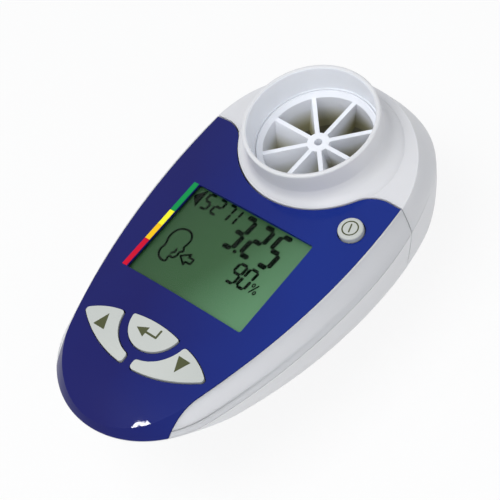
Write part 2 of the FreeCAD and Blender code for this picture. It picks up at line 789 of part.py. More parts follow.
def stator(top_z, vane_top_z, low_z, vanes, twist, first, chamfer):
    """Ring, hub and radial vanes that turn by twist from top to bottom."""
    body = ring(tube_r, flow_r, 0, flow_y, low_z, top_z)
    if chamfer:
        cone = Part.makeCone(flow_r, tube_r - 0.3, top_z - vane_top_z, Vector(0, flow_y, vane_top_z))
        body = body.cut(cone)
    depth = vane_top_z - low_z
    hub = Part.makeCone(stator_hub_r - 0.5, stator_hub_r, depth, Vector(0, flow_y, low_z))
    body = body.fuse(hub)
    for k in range(vanes):
        sections = []
        for step in range(4):
            share = step / 3
            z = vane_top_z - depth * share
            half_t = stator_vane_t / 2
            wire = Part.makePolygon([
                Vector(0.8, -half_t, z), Vector(flow_r + 0.6, -half_t, z),
                Vector(flow_r + 0.6, half_t, z), Vector(0.8, half_t, z), Vector(0.8, -half_t, z),
            ])
            turn = first + 360.0 * k / vanes + twist * share
            wire.rotate(Vector(0, 0, 0), Vector(0, 0, 1), turn)
            sections.append(wire.translate(Vector(0, flow_y, 0)))
        body = body.fuse(Part.makeLoft(sections, True, False))
    return body


def make_front_stator():
    """Twisted vanes that set the breath spinning, with the front bearing's seat in the hub."""
    low_z = stator_vane_top_z - stator_depth
    body = stator(stator_top_z, stator_vane_top_z, low_z, stator_vanes,
                  stator_twist_deg, stator_first_vane_deg, True)
    body = body.cut(rod(stator_hub_hole_r, 0, flow_y, 0, rim_z))
    return body.cut(rod(bearing_r, 0, flow_y, 0, low_z + bearing_t))


def make_rear_stator():
    """Straight vanes at the exhaust, with the rear bearing's seat in the hub."""
    top_z = sleeve_floor_z + rear_stator_depth
    body = stator(top_z, top_z, sleeve_floor_z, rear_stator_vanes, 0.0, 15.0, False)
    body = body.cut(rod(bearing_r, 0, flow_y, top_z - bearing_t, rim_z))
    return body.cut(rod(spindle_r + 0.3, 0, flow_y, top_z - bearing_t - 1.5, rim_z))


def make_bearing(z0):
    """Plain bush with a running bore for the spindle."""
    return ring(bearing_r, spindle_r + bearing_clearance, 0, flow_y, z0, z0 + bearing_t)


def make_rotor():
    """Flat two-armed vane on a hub, and the spindle it turns on."""
    low_z = sleeve_floor_z + rear_stator_depth + rotor_gap
    high_z = stator_vane_top_z - stator_depth - rotor_gap
    blade = box(-rotor_span / 2, rotor_span / 2, -rotor_blade_t / 2, rotor_blade_t / 2, low_z, high_z)
    blade.rotate(Vector(0, 0, 0), Vector(0, 0, 1), 35)
    blade.translate(Vector(0, flow_y, 0))
    hub = rod(rotor_hub_r, 0, flow_y, low_z, high_z)
    vane = blade.fuse(hub).cut(rod(spindle_r, 0, flow_y, 0, rim_z))
    bottom = sleeve_floor_z + rear_stator_depth - bearing_t - 1.0
    top = stator_vane_top_z - stator_depth + bearing_t + 0.8
    spindle = rod(spindle_r, 0, flow_y, bottom, top)
    return vane, spindle


def build():
    """Makes every piece of the assembly, as a name and its shape."""
    pieces = {}
    pieces["front_shell"] = make_front_shell()
    pieces["back_shell"] = make_back_shell()
    pieces["control_panel"] = make_control_panel()
    pieces["zone_strip"] = make_zone_strip()
    pane, lcd, frame, strips = make_display()
    pieces["window_pane"] = pane
    pieces["lcd_cell"] = lcd
    pieces["lcd_frame"] = frame
    pieces["lcd_connectors"] = strips
    pieces.update(make_keys())
    bodies, plungers = make_switches()
    pieces["switch_bodies"] = bodies
    for name, plunger in plungers.items():
        pieces[name.split("_")[0] + "_plunger"] = plunger
    pieces["circuit_board"] = make_board()
    pieces["board_chips"] = make_chips()
    pieces["buzzer"] = make_buzzer()
    pieces["battery_door"] = make_battery_door()
    pieces["battery_cell_left"] = make_cell(-1)
    pieces["battery_cell_right"] = make_cell(1)
    pieces["battery_contacts"] = make_battery_contacts()
    pieces["battery_springs"] = make_battery_springs()
    pieces["case_screws"] = Part.makeCompound([make_screw(*spot) for spot in screw_spots])
    pieces["ir_emitter"] = make_sensor(-1)
    pieces["ir_detector"] = make_sensor(1)
    pieces["head_front"] = make_head_front()
    pieces["head_back"] = make_head_back()
    pieces["head_screws"] = Part.makeCompound([make_screw(*spot) for spot in head_screw_spots])
    pieces["front_stator"] = make_front_stator()
    pieces["rear_stator"] = make_rear_stator()
    low = stator_vane_top_z - stator_depth
    rear_top = sleeve_floor_z + rear_stator_depth
    pieces["flow_tube"] = ring(tube_r, flow_r, 0, flow_y, rear_top, low)
    pieces["front_bearing"] = make_bearing(low)
    pieces["rear_bearing"] = make_bearing(rear_top - bearing_t)
    pieces["rotor_vane"], pieces["rotor_spindle"] = make_rotor()
    return pieces


def main():
    os.makedirs("parts", exist_ok=True)
    for name, shape in build().items():
        shape.exportStep(f"parts/{name}.step")
        print(f"{name}: {len(shape.Solids)} solid(s), {shape.Volume:.0f} mm3, valid {shape.isValid()}")


main()
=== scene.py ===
"""Looks of a hand-held lung function monitor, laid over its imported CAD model.

The CAD nodes keep their shapes and get their finishes here. The display's lit segments and the printed key
symbols are modelled here. Sizes are in millimetres and MM turns them into metres.
"""

import logging
import math
from collections.abc import Sequence
from dataclasses import dataclass
from enum import Enum
from typing import ClassVar

import bpy
from mathutils import Matrix, Quaternion, Vector

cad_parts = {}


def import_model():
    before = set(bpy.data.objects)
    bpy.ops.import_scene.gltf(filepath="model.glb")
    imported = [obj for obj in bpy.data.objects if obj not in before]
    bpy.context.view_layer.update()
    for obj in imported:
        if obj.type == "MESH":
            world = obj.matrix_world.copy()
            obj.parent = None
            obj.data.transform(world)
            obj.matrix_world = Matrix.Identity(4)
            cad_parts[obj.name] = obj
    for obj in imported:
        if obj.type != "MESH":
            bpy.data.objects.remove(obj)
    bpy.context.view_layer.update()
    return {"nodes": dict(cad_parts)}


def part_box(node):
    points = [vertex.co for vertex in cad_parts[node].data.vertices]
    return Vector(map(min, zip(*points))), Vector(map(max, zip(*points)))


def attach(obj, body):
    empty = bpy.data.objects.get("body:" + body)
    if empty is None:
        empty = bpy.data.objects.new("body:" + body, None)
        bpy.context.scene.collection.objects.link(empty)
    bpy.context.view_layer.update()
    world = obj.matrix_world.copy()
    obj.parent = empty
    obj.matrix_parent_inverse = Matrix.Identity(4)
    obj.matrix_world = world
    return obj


MM = 0.001
log = logging.getLogger("lung_monitor")

Point = tuple[float, float]
Triple = tuple[float, float, float]
Outline = tuple[Point, ...]
Colour = tuple[float, float, float]
Stops = Sequence[tuple[float, Colour]]
Socket = bpy.types.NodeSocket

WHITE: Colour = (1.0, 1.0, 1.0)
BLACK: Colour = (0.0, 0.0, 0.0)
DOWN = Vector((0.0, 0.0, -1.0))


def linear(red: int, green: int, blue: int) -> Colour:
    """Turns a colour of 0 to 255 into linear light.

    Args:
        red: Red as it shows on a screen.
        green: Green as it shows on a screen.
        blue: Blue as it shows on a screen.

    Returns:
        The three linear values.
    """

    def channel(value: int) -> float:
        """Linear light of one channel."""
        share = value / 255
        return share / 12.92 if share <= 0.04045 else ((share + 0.055) / 1.055) ** 2.4

    return channel(red), channel(green), channel(blue)


def ellipse(centre: Point, radii: Point, count: int) -> list[Point]:
    """Points set evenly round an ellipse.

    Args:
        centre: Its middle.
        radii: Its radii along X and along Y.
        count: Number of points.

    Returns:
        The points in order.
    """
    turns = [2 * math.pi * step / count for step in range(count)]
    return [(centre[0] + radii[0] * math.cos(turn), centre[1] + radii[1] * math.sin(turn)) for turn in turns]


class NodeBench:
    """The nodes of a material or a world, and the short calls that add and join them."""

    def __init__(self, owner: bpy.types.Material | bpy.types.World, output: str) -> None:
        """Empties the owner's nodes down to its output.

        Args:
            owner: The material or world.
            output: Type of its output node without the leading ShaderNode.
        """
        self.owner = owner
        self.owner.use_nodes = True
        self.tree = owner.node_tree
        self.tree.nodes.clear()
        self.output = self.node(output)

    @classmethod
    def of_material(cls, name: str) -> "NodeBench":
        """Bench of a new material with that name."""
        return cls(bpy.data.materials.new(name), "OutputMaterial")

    def node(self, kind: str, **inputs: object) -> bpy.types.Node:
        """Adds a node.

        Args:
            kind: The node's type without the leading ShaderNode.
            **inputs: Socket names, with underscores for spaces, and their fixed value or the socket to link.

        Returns:
            The new node.
        """
        node = self.tree.nodes.new("ShaderNode" + kind)
        for key, value in inputs.items():
            self.feed(node.inputs[key.replace("_", " ")], value)
        return node

    def feed(self, socket: Socket, value: object) -> None:
        """Gives a socket its value.

        Args:
            socket: The socket.
            value: A fixed value or the socket to link.
        """
        if isinstance(value, Socket):
            self.tree.links.new(value, socket)
        else:
            socket.default_value = value

    def place(self) -> Socket:
        """Object coordinates, in metres."""
        return self.node("TexCoord").outputs["Object"]

    def combine(self, operation: str, first: Socket, second: Socket | float) -> Socket:
        """Works out one number from two.

        Args:
            operation: Name of the Math node's operation.
            first: The first number.
            second: The second number.

        Returns:
            The result's socket.
        """
        node = self.node("Math", Value=first)
        node.operation = operation
        self.feed(node.inputs[1], second)
        return node.outputs["Value"]

    def vector(self, operation: str, first: Socket, *others: Triple) -> bpy.types.Node:
        """Works out a vector or a number from vectors.

        Args:
            operation: Name of the Vector Math node's operation.
            first: The first vector.
            *others: The other vectors.

        Returns:
            The node.
        """
        node = self.node("VectorMath", Vector=first)
        node.operation = operation
        for index, other in enumerate(others, start=1):
            node.inputs[index].default_value = other
        return node

    def share(self, value: Socket, start: float, end: float) -> Socket:
        """Share, from 0 to 1, of the way from start to end."""
        return self.node("MapRange", Value=value, From_Min=start, From_Max=end).outputs["Result"]

    def number(self, value: Socket, low: float, high: float) -> Socket:
        """Maps a value of 0 to 1 onto a range."""
        return self.node("MapRange", Value=value, To_Min=low, To_Max=high).outputs["Result"]

    def way(self, direction: Triple, start_mm: float, end_mm: float) -> Socket:
        """Share of the way along a direction.

        Args:
            direction: The direction, whose length stretches the way.
            start_mm: Where the share is 0.
            end_mm: Where the share is 1.

        Returns:
            The share's socket.
        """
        line = self.vector("DOT_PRODUCT", self.place(), direction)
        return self.share(line.outputs["Value"], start_mm * MM, end_mm * MM)

    def noise(
        self, size_mm: float, detail: float = 3.0, rough: float = 0.5, where: Socket | None = None
    ) -> Socket:
        """Noise value with features of about that size.

        Args:
            size_mm: Width of one feature.
            detail: Number of finer layers.
            rough: Strength of the finer layers.
            where: Coordinates of the noise, or None for the object's.

        Returns:
            The noise's value socket.
        """
        place = self.place() if where is None else where
        scale = 1.0 / (size_mm * MM)
        made = self.node("TexNoise", Vector=place, Scale=scale, Detail=detail, Roughness=rough)
        return made.outputs["Fac"]

    def ramp(self, value: Socket, stops: Stops, steps: bool = False) -> Socket:
        """Colour ramp over a value.

        Args:
            value: What drives the ramp.
            stops: Places from 0 to 1 and their colours.
            steps: True for hard borders between the colours.

        Returns:
            The colour socket.
        """
        node = self.node("ValToRGB", Fac=value)
        line = node.color_ramp
        line.interpolation = "CONSTANT" if steps else "LINEAR"
        while len(line.elements) < len(stops):
            line.elements.new(0.5)
        for element, (where, colour) in zip(line.elements, stops):
            element.position = where
            element.color = (*colour, 1.0)
        return node.outputs["Color"]

    def bump(self, height: Socket, depth_mm: float) -> Socket:
        """Bump of that depth from a height socket."""
        return self.node("Bump", Height=height, Distance=depth_mm * MM, Strength=1.0).outputs["Normal"]

    def mix(self, share: Socket, first: bpy.types.Node, second: bpy.types.Node) -> bpy.types.Node:
        """Mixes two shaders.

        Args:
            share: Share of the second shader.
            first: The first shader.
            second: The second shader.

        Returns:
            The mixing node.
        """
        node = self.node("MixShader", Fac=share)
        self.feed(node.inputs[1], first.outputs[0])
        self.feed(node.inputs[2], second.outputs[0])
        return node

    def backdrop_rays(self) -> Socket:
        """Picks the rays that show a backdrop.

        Returns:
            A socket that is 1 for a ray from the camera, off a glossy surface or through glass, and else 0.
        """
        path = self.node("LightPath")
        shown = path.outputs["Is Camera Ray"]
        for kind in ("Is Glossy Ray", "Is Transmission Ray"):
            shown = self.combine("MAXIMUM", shown, path.outputs[kind])
        return shown

    def finish(self, shader: bpy.types.Node) -> bpy.types.Material | bpy.types.World:
        """Joins a shader to the output and hands the material or world over."""
        self.feed(self.output.inputs["Surface"], shader.outputs[0])
        return self.owner


@dataclass(frozen=True)
class Relief:
    """Fine unevenness of a surface.

    Attributes:
        width_mm: Width of one bump.
        depth_mm: Depth of the bumps.
        detail: Number of finer layers.
    """

    width_mm: float
    depth_mm: float
    detail: float = 3.0

    def build(self, bench: NodeBench) -> Socket:
        """Normal of the uneven surface."""
        return bench.bump(bench.noise(self.width_mm, self.detail), self.depth_mm)


@dataclass(frozen=True)
class Gloss:
    """Roughness that wanders over a surface.

    Attributes:
        low: Roughness of the shiniest places.
        high: Roughness of the dullest places.
        patch_mm: Width of one place.
        detail: Number of finer layers.
        rough: Strength of the finer layers.
    """

    low: float
    high: float
    patch_mm: float
    detail: float = 3.0
    rough: float = 0.5

    def build(self, bench: NodeBench) -> Socket:
        """Roughness over the surface."""
        return bench.number(bench.noise(self.patch_mm, self.detail, self.rough), self.low, self.high)


@dataclass(frozen=True)
class Moulding:
    """Injection-moulded plastic with a faint cast variation and a fine grain.

    Attributes:
        name: The material's name.
        colour: Main colour.
        shade: Colour of the duller patches.
        roughness: Mean roughness.
        grain_mm: Width of the surface grain.
        grain_depth_mm: Depth of the grain.
        coat: Strength of a clear gloss skin.
        through: Light scattered inside the wall, from 0 to 1.
        sheen: Specular level of the surface under the coat.
        reach_mm: How far light goes inside the wall.
        PATCH_MM: Width of the duller patches.
        PATCH_ENDS: Noise values at which the shade ends and the full colour starts.
        RUB: How far the roughness strays from its mean.
        COAT_ROUGHNESS: Roughness of the gloss skin.
        REACH_SHARES: Reach of red, green and blue light.
    """

    name: str
    colour: Colour
    shade: Colour
    roughness: float = 0.4
    grain_mm: float = 0.35
    grain_depth_mm: float = 0.004
    coat: float = 0.0
    through: float = 0.0
    sheen: float = 0.4
    reach_mm: float = 2.5

    PATCH_MM: ClassVar[float] = 22.0
    PATCH_ENDS: ClassVar[Point] = (0.35, 0.65)
    RUB: ClassVar[float] = 0.06
    COAT_ROUGHNESS: ClassVar[float] = 0.02
    REACH_SHARES: ClassVar[Triple] = (1.0, 0.95, 0.9)

    def pigment(self, bench: NodeBench) -> Socket:
        """Colour of the plastic over the surface.

        Args:
            bench: The material's nodes.

        Returns:
            The colour socket.
        """
        low, high = self.PATCH_ENDS
        return bench.ramp(bench.noise(self.PATCH_MM, 2.0), [(low, self.shade), (high, self.colour)])

    def build(self) -> bpy.types.Material:
        """Makes the material.

        Returns:
            The material.
        """
        bench = NodeBench.of_material(self.name)
        low = self.roughness - self.RUB
        high = self.roughness + self.RUB
        shader = bench.node(
            "BsdfPrincipled",
            Base_Color=self.pigment(bench),
            Roughness=Gloss(low, high, patch_mm=3.0, detail=4.0, rough=0.65).build(bench),
            Normal=Relief(self.grain_mm, self.grain_depth_mm, detail=2.0).build(bench),
            Specular_IOR_Level=self.sheen,
            Coat_Weight=self.coat,
            Coat_Roughness=self.COAT_ROUGHNESS,
            Subsurface_Weight=self.through,
            Subsurface_Scale=self.reach_mm * MM,
            Subsurface_Radius=self.REACH_SHARES,
        )
        return bench.finish(shader)


@dataclass(frozen=True)
class PaintedLightMoulding(Moulding):
    """Moulding with painted light and shade: its colour turns from its shade to its colour along a direction.

    Attributes:
        direction: The direction of the change.
        start_mm: Where the painted shade ends.
        end_mm: Where the full colour starts.
        CLOUD_MM: Width of the uneven places.
        CLOUD: How uneven the change is, as a share of its length.
    """

    direction: Triple = (1.0, 0.0, 0.0)
    start_mm: float = 0.0
    end_mm: float = 10.0

    CLOUD_MM: ClassVar[float] = 14.0
    CLOUD: ClassVar[float] = 0.12

    def pigment(self, bench: NodeBench) -> Socket:
        """Colour of the plastic, with painted light and shade along the direction.

        Args:
            bench: The material's nodes.

        Returns:
            The colour socket.
        """
        # Painted light and shade: the colour runs from the shade to the full colour along the direction.
        share = bench.way(self.direction, self.start_mm, self.end_mm)
        uneven = bench.number(bench.noise(self.CLOUD_MM), -self.CLOUD, self.CLOUD)
        return bench.ramp(bench.combine("ADD", share, uneven), [(0.0, self.shade), (1.0, self.colour)])


@dataclass(frozen=True)
class PaintedLightSocketMoulding(Moulding):
    """Moulding whose round socket is painted a cooler, brighter white than the outside, as painted light in
    the socket.

    Attributes:
        inside: Painted light colour inside the socket.
        axis_y: Place of the socket's middle line along Y.
        socket_r: Radius at which the inside ends.
        BORDER_MM: Half width of the border between inside and outside.
    """

    inside: Colour = WHITE
    axis_y: float = 30.7
    socket_r: float = 15.8

    BORDER_MM: ClassVar[float] = 0.1

    def pigment(self, bench: NodeBench) -> Socket:
        """Colour of the plastic, with painted light inside the socket.

        Args:
            bench: The material's nodes.

        Returns:
            The colour socket.
        """
        low, high = self.PATCH_ENDS
        spoke = bench.vector("MULTIPLY_ADD", bench.place(), (1.0, 1.0, 0.0), (0.0, -self.axis_y * MM, 0.0))
        radius = bench.vector("LENGTH", spoke.outputs["Vector"]).outputs["Value"]
        start_mm = self.socket_r - self.BORDER_MM
        end_mm = self.socket_r + self.BORDER_MM
        outside = bench.share(radius, start_mm * MM, end_mm * MM)
        patches = bench.number(bench.noise(self.PATCH_MM, 2.0), low, high)
        # Painted light: the inside of the socket gets a brighter, cooler white than the outside.
        stops = [(0.0, self.inside), (low, self.shade), (high, self.colour)]
        return bench.ramp(bench.combine("MULTIPLY", outside, patches), stops)


@dataclass(frozen=True)
class Metal:
    """Bare or plated metal with fine rubbed scratches.

    Attributes:
        name: The material's name.
        colour: Colour of the metal.
        roughness: Roughness outside the scratches.
        SCRATCH_MM: Width of the scratches.
        SCRATCH_DEPTH_MM: Depth of the scratches.
        STRETCH: Shares of the scratches' scale along X, Y and Z.
        POLISH: Roughness that the smoothest places lack.
        WEAR: Roughness that the dullest places add.
    """

    name: str
    colour: Colour
    roughness: float

    SCRATCH_MM: ClassVar[float] = 0.12
    SCRATCH_DEPTH_MM: ClassVar[float] = 0.003
    STRETCH: ClassVar[Triple] = (1.0, 0.08, 1.0)
    POLISH: ClassVar[float] = 0.08
    WEAR: ClassVar[float] = 0.12

    def build(self) -> bpy.types.Material:
        """Makes the material.

        Returns:
            The material.
        """
        bench = NodeBench.of_material(self.name)
        stretched = bench.node("Mapping", Vector=bench.place(), Scale=self.STRETCH).outputs["Vector"]
        scratch = bench.noise(self.SCRATCH_MM, where=stretched)
        shader = bench.node(
            "BsdfPrincipled",
            Base_Color=(*self.colour, 1.0),
            Metallic=1.0,
            Roughness=bench.number(scratch, self.roughness - self.POLISH, self.roughness + self.WEAR),
            Normal=bench.bump(scratch, self.SCRATCH_DEPTH_MM),
        )
        return bench.finish(shader)


@dataclass(frozen=True)
class LiquidCrystal:
    """Reflective grey-green cell with painted shade at its upper left and a painted reflection that makes it
    lighter towards its lower right corner.

    Attributes:
        name: The material's name.
        dark: Painted shade colour at the upper left corner.
        middle: Colour near the middle.
        light: Painted reflection colour at the lower right corner.
        direction: The direction of the change.
        start_mm: Where the change starts.
        end_mm: Where the change ends.
        middle_at: Share of the change at which the middle colour lies.
        sheen: Specular level of the cell.
        gloss: Roughness of its polariser.
        relief: Grain of its polariser.
    """

    name: str
    dark: Colour
    middle: Colour
    light: Colour
    direction: Triple = (1.0, -0.35, 0.0)
    start_mm: float = -21.0
    end_mm: float = 22.0
    middle_at: float = 0.55
    sheen: float = 0.1
    gloss: Gloss = Gloss(0.38, 0.5, patch_mm=0.5)
    relief: Relief = Relief(0.06, 0.002, detail=1.0)

    def build(self) -> bpy.types.Material:
        """Makes the material.

        Returns:
            The material.
        """
        bench = NodeBench.of_material(self.name)
        # Painted shade at the upper left of the cell and painted reflection at its lower right.
        share = bench.way(self.direction, self.start_mm, self.end_mm)
        stops = [(0.0, self.dark), (self.middle_at, self.middle), (1.0, self.light)]
        shader = bench.node(
            "BsdfPrincipled",
            Base_Color=bench.ramp(share, stops),
            Roughness=self.gloss.build(bench),
            Normal=self.relief.build(bench),
            Specular_IOR_Level=self.sheen,
        )
        return bench.finish(shader)


@dataclass(frozen=True)
class ClearPane:
    """Hard-coated clear window: a clear body with a thin mirror of its surroundings.

    Attributes:
        name: The material's name.
        tint: Colour of the light that comes through.
        mirror: Strength of the mirror, from 0 to 1.
        bending: Index of refraction, which sets how the mirror grows at a flat angle.
        gloss: Roughness of the mirror.
        relief: Unevenness of the hard coat.
    """

    name: str
    tint: Colour = (0.97, 0.98, 0.97)
    mirror: float = 0.1
    bending: float = 1.45
    gloss: Gloss = Gloss(0.03, 0.08, patch_mm=2.0, detail=4.0)
    relief: Relief = Relief(1.5, 0.0004)

    def build(self) -> bpy.types.Material:
        """Makes the material.

        Returns:
            The material.
        """
        bench = NodeBench.of_material(self.name)
        normal = self.relief.build(bench)
        clear = bench.node("BsdfTransparent", Color=(*self.tint, 1.0))
        gloss = bench.node("BsdfGlossy", Roughness=self.gloss.build(bench), Normal=normal)
        edge = bench.node("Fresnel", IOR=self.bending, Normal=normal)
        share = bench.number(edge.outputs["Fac"], 0.0, self.mirror)
        return bench.finish(bench.mix(share, clear, gloss))


@dataclass(frozen=True)
class ZoneInks:
    """Solid inks in bands along Y.

    Attributes:
        name: The material's name.
        inks: Border shares from the nose end, and the ink that starts there.
        sheen: Specular level of the inks.
        gloss: Roughness of the inks.
        relief: Grain of the print.
    """

    name: str
    inks: Stops
    sheen: float = 0.15
    gloss: Gloss = Gloss(0.32, 0.44, patch_mm=0.4)
    relief: Relief = Relief(0.25, 0.003)

    def build(self, low: Vector, high: Vector) -> bpy.types.Material:
        """Makes the material for a strip.

        Args:
            low: Lowest corner of the strip.
            high: Highest corner of the strip.

        Returns:
            The material.
        """
        bench = NodeBench.of_material(self.name)
        along = bench.node("SeparateXYZ", Vector=bench.place()).outputs["Y"]
        shader = bench.node(
            "BsdfPrincipled",
            Base_Color=bench.ramp(bench.share(along, low.y, high.y), self.inks, steps=True),
            Roughness=self.gloss.build(bench),
            Normal=self.relief.build(bench),
            Specular_IOR_Level=self.sheen,
        )
        return bench.finish(shader)


@dataclass(frozen=True)
class SolderMask:
    """Green circuit board with copper tracks that show through the mask.

    Attributes:
        name: The material's name.
        mask: Colour between the tracks.
        track: Colour over the tracks.
        pitch_mm: Distance between the tracks.
        fold: Distance value at which the pattern of tracks folds back.
        slope: Steepness of the tracks' sides.
        mask_end: Share of a side at which the mask's colour ends.
        track_start: Share of a side at which the track's colour starts.
        track_depth_mm: Height of the tracks.
        roughness: Roughness of the mask.
    """

    name: str
    mask: Colour
    track: Colour
    pitch_mm: float = 2.2
    fold: float = 0.16
    slope: float = 6.0
    mask_end: float = 0.35
    track_start: float = 0.6
    track_depth_mm: float = 0.01
    roughness: float = 0.3

    def build(self) -> bpy.types.Material:
        """Makes the material.

        Returns:
            The material.
        """
        bench = NodeBench.of_material(self.name)
        cells = bench.node("TexVoronoi", Vector=bench.place(), Scale=1.0 / (self.pitch_mm * MM))
        cells.distance = "MANHATTAN"
        cells.feature = "F1"
        folded = bench.combine("PINGPONG", cells.outputs["Distance"], self.fold)
        edge = bench.number(folded, 0.0, self.slope)
        shader = bench.node(
            "BsdfPrincipled",
            Base_Color=bench.ramp(edge, [(self.mask_end, self.mask), (self.track_start, self.track)]),
            Roughness=self.roughness,
            Normal=bench.bump(edge, self.track_depth_mm),
        )
        return bench.finish(shader)


@dataclass(frozen=True)
class CellJacket:
    """Film jacket of a dry cell: a dark barrel, a copper-coloured band and bare metal ends.

    Attributes:
        name: The material's name.
        button_up: True where the button end points along +Y.
        barrel: Colour of the jacket.
        band: Colour of the band.
        steel: Colour of the bare ends.
        barrel_at: Share of the length at which the jacket starts.
        band_at: Share of the length at which the band starts.
        button_at: Share of the length at which the button end starts.
        gloss: Roughness of the film and the steel.
    """

    name: str
    button_up: bool
    barrel: Colour = linear(36, 38, 44)
    band: Colour = linear(186, 120, 70)
    steel: Colour = (0.6, 0.6, 0.58)
    barrel_at: float = 0.012
    band_at: float = 0.7
    button_at: float = 0.97
    gloss: Gloss = Gloss(0.2, 0.34, patch_mm=1.2)

    def build(self, low: Vector, high: Vector) -> bpy.types.Material:
        """Makes the material for a cell.

        Args:
            low: Lowest corner of the cell.
            high: Highest corner of the cell.

        Returns:
            The material.
        """
        bench = NodeBench.of_material(self.name)
        along = bench.node("SeparateXYZ", Vector=bench.place()).outputs["Y"]
        start, end = (low.y, high.y) if self.button_up else (high.y, low.y)
        share = bench.share(along, start, end)
        colours = [
            (0.0, self.steel),
            (self.barrel_at, self.barrel),
            (self.band_at, self.band),
            (self.button_at, self.steel),
        ]
        bare = [(0.0, WHITE), (self.barrel_at, BLACK), (self.button_at, WHITE)]
        shader = bench.node(
            "BsdfPrincipled",
            Base_Color=bench.ramp(share, colours, steps=True),
            Metallic=bench.ramp(share, bare, steps=True),
            Roughness=self.gloss.build(bench),
        )
        return bench.finish(shader)


OFF_WHITE = linear(224, 224, 226)
OFF_WHITE_SHADE = linear(220, 220, 222)
# Khaki painted shade of the deep flow passage.
KHAKI_SHADE = linear(186, 182, 146)

CASING = Moulding("off_white_casing", OFF_WHITE, OFF_WHITE_SHADE, roughness=0.36, through=0.5)
# Painted light: the inside of the head's socket is painted a brighter, cooler white than the outside.
COLLAR = PaintedLightSocketMoulding(
    "off_white_head",
    OFF_WHITE,
    OFF_WHITE_SHADE,
    roughness=0.36,
    through=0.5,
    inside=linear(246, 249, 255),
)
# Painted light: the navy panel is painted lighter and bluer towards its right side, standing in for the light
# falling there.
PANEL = PaintedLightMoulding(
    "navy_gloss_panel",
    linear(14, 41, 128),
    linear(17, 21, 96),
    roughness=0.3,
    grain_mm=1.4,
    grain_depth_mm=0.002,
    coat=0.25,
    sheen=0.05,
    direction=(1.0, 0.4, 0.0),
    start_mm=-20.0,
    end_mm=22.0,
)
KEYCAP = Moulding("light_grey_keys", linear(196, 199, 194), linear(190, 194, 189), roughness=0.45)
# Painted light and shade: the front stator is a bright, cool white at the top and turns to a painted khaki
# shade deeper in the passage.
FRONT_STATOR = PaintedLightMoulding(
    "pale_front_stator",
    linear(246, 248, 254),
    KHAKI_SHADE,
    roughness=0.4,
    through=0.3,
    direction=(0.0, 0.0, 1.0),
    start_mm=30.5,
    end_mm=36.0,
)
# Painted shade: the rear stator and the flow tube are khaki and olive, standing in for the shade deep in the
# flow passage.
REAR_STATOR = Moulding("khaki_rear_stator", linear(196, 192, 156), KHAKI_SHADE, roughness=0.42, through=0.1)
FLOW_TUBE = Moulding("khaki_shade_flow_tube", linear(150, 146, 118), linear(138, 134, 106), roughness=0.3)
BEARING = Moulding("polished_bush", linear(226, 226, 222), linear(218, 218, 214), roughness=0.22)
ROTOR = Moulding("white_rotor", linear(240, 240, 236), linear(232, 232, 228), roughness=0.3, through=0.2)
INNER = Moulding("black_inner_parts", linear(38, 38, 40), linear(30, 30, 33), roughness=0.5)
ELASTOMER = Moulding("layered_elastomer", linear(178, 128, 130), linear(160, 112, 116), roughness=0.7)
LENS = Moulding("infra_red_lens", linear(34, 26, 44), linear(28, 20, 38), roughness=0.12, coat=0.5)
SEGMENT_INK = Moulding(
    "lcd_segment",
    linear(3, 14, 6),
    linear(1, 10, 3),
    roughness=0.7,
    grain_mm=0.1,
    grain_depth_mm=0.001,
    sheen=0.0,
)
OLIVE_INK = Moulding(
    "olive_key_ink",
    linear(84, 88, 60),
    linear(78, 82, 54),
    roughness=0.6,
    grain_mm=0.15,
    grain_depth_mm=0.002,
    sheen=0.1,
)
NICKEL = Metal("nickel_contacts", (0.75, 0.73, 0.68), roughness=0.2)
STEEL = Metal("screw_steel", (0.55, 0.55, 0.56), roughness=0.32)
# Painted shade at the cell's upper left and painted reflection at its lower right.
CRYSTAL = LiquidCrystal("display_crystal", linear(49, 80, 51), linear(60, 95, 62), linear(104, 149, 112))
PANE = ClearPane("display_window")
RED_INK = linear(206, 4, 46)
AMBER_INK = linear(252, 200, 26)
YELLOW_INK = linear(252, 246, 50)
GREEN_INK = linear(4, 146, 74)
ZONES = ZoneInks("zone_inks", ((0.0, RED_INK), (0.31, AMBER_INK), (0.485, YELLOW_INK), (0.66, GREEN_INK)))
BOARD = SolderMask("solder_mask", linear(18, 82, 44), linear(40, 118, 62))
JACKET_LEFT = CellJacket("jacket_left", button_up=True)
JACKET_RIGHT = CellJacket("jacket_right", button_up=False)


class Segment(Enum):
    """The seven strokes of a digit: start and end in a box one unit wide and two units high."""

    TOP = ((0.0, 2.0), (1.0, 2.0))
    UPPER_RIGHT = ((1.0, 2.0), (1.0, 1.0))
    LOWER_RIGHT = ((1.0, 1.0), (1.0, 0.0))
    BOTTOM = ((0.0, 0.0), (1.0, 0.0))
    LOWER_LEFT = ((0.0, 1.0), (0.0, 0.0))
    UPPER_LEFT = ((0.0, 2.0), (0.0, 1.0))
    MIDDLE = ((0.0, 1.0), (1.0, 1.0))


LIT: dict[str, tuple[Segment, ...]] = {
    "0": (
        Segment.TOP,
        Segment.UPPER_RIGHT,
        Segment.LOWER_RIGHT,
        Segment.BOTTOM,
        Segment.LOWER_LEFT,
        Segment.UPPER_LEFT,
    ),
    "1": (Segment.UPPER_RIGHT, Segment.LOWER_RIGHT),
    "2": (Segment.TOP, Segment.UPPER_RIGHT, Segment.MIDDLE, Segment.LOWER_LEFT, Segment.BOTTOM),
    "3": (Segment.TOP, Segment.UPPER_RIGHT, Segment.MIDDLE, Segment.LOWER_RIGHT, Segment.BOTTOM),
    "5": (Segment.TOP, Segment.UPPER_LEFT, Segment.MIDDLE, Segment.LOWER_RIGHT, Segment.BOTTOM),
    "7": (Segment.TOP, Segment.UPPER_RIGHT, Segment.LOWER_RIGHT),
    "9": (
        Segment.TOP,
        Segment.UPPER_LEFT,
        Segment.UPPER_RIGHT,
        Segment.MIDDLE,
        Segment.LOWER_RIGHT,
        Segment.BOTTOM,
    ),
}


